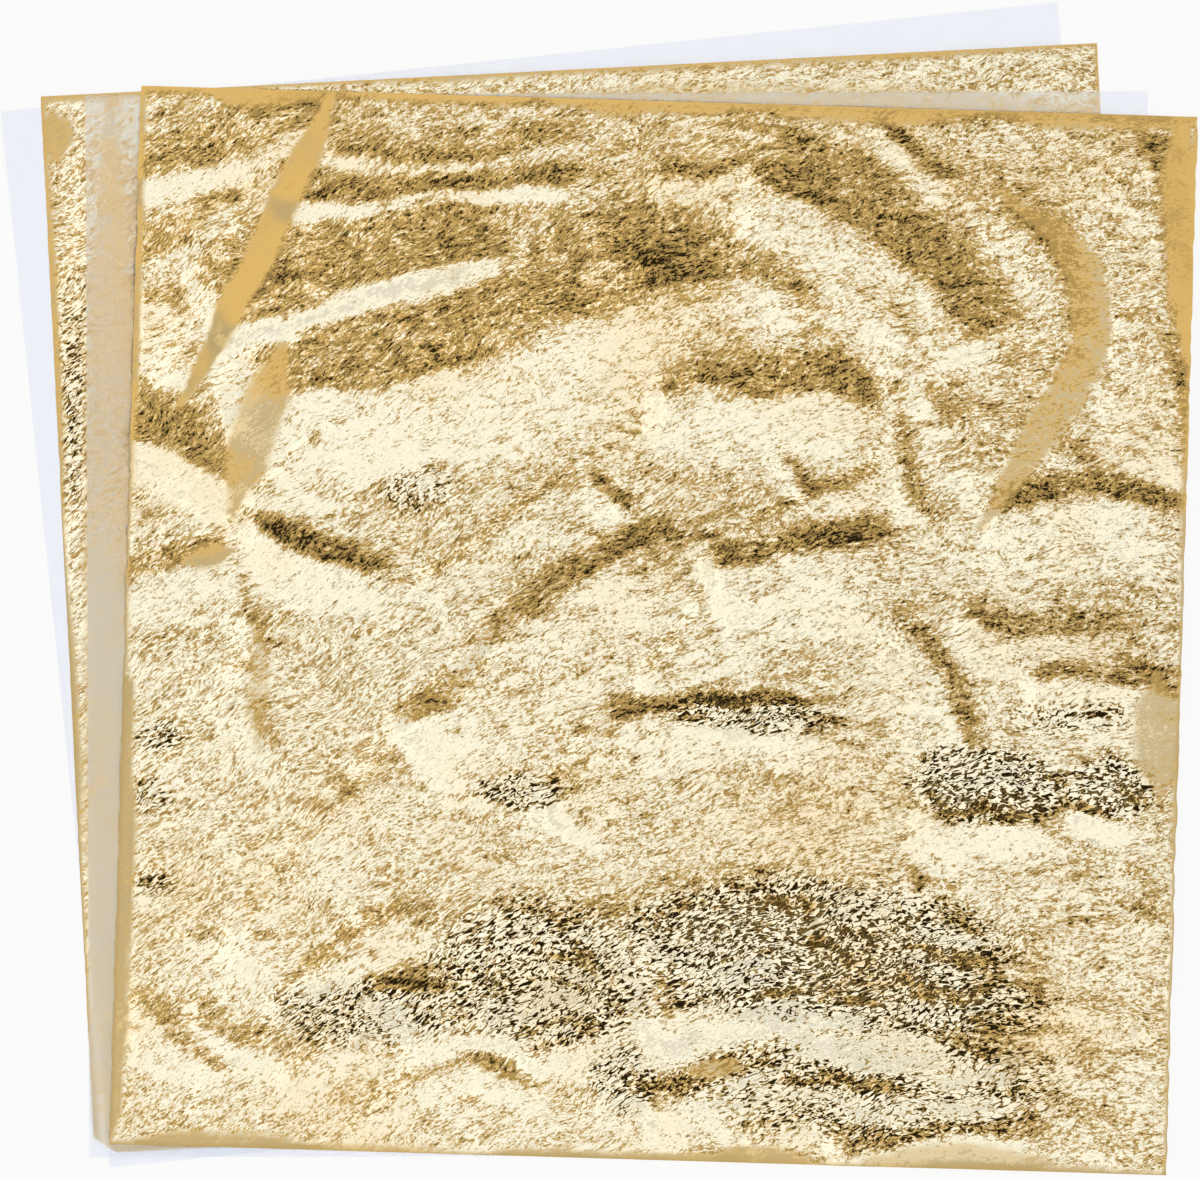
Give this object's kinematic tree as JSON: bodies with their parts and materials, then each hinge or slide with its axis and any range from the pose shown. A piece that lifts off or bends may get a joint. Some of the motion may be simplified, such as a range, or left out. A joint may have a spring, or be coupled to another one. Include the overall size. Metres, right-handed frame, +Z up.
{
  "type": "set of gilding leaves with tissues",
  "caption": "Loose square gold leaves with crinkled surfaces, each laid on a thin translucent tissue, the sheets fanned out about one corner.",
  "frame": {"origin": "middle of the underside of the lower tissue", "axes": "+X to the right and +Y up the page as the picture shows it, +Z up from the table"},
  "size_m": [0.1584, 0.1552, 0.0033],
  "materials": {
    "gold_leaf": "satin",
    "tissue": "matte"
  },
  "bodies": {
    "lower_tissue": {"lower_tissue": "tissue"},
    "lower_leaf": {"lower_leaf": "gold_leaf"},
    "upper_tissue": {"upper_tissue": "tissue"},
    "upper_leaf": {"upper_leaf": "gold_leaf"}
  },
  "joints": [
    {"name": "lower_leaf_turn", "type": "hinge", "parent": "lower_tissue", "child": "lower_leaf", "pos_m": [-0.064, -0.0755, 0.0001], "axis": [0, 0, 1], "range_deg": [-30, 3]},
    {"name": "upper_pair_lift", "type": "slide", "parent": "lower_tissue", "child": "upper_tissue", "axis": [0, 0, 1], "range_m": [0, 0.05]},
    {"name": "upper_leaf_turn", "type": "hinge", "parent": "upper_tissue", "child": "upper_leaf", "pos_m": [-0.064, -0.0755, 0.0008], "axis": [0, 0, 1], "range_deg": [-30, 1.9]}
  ]
}
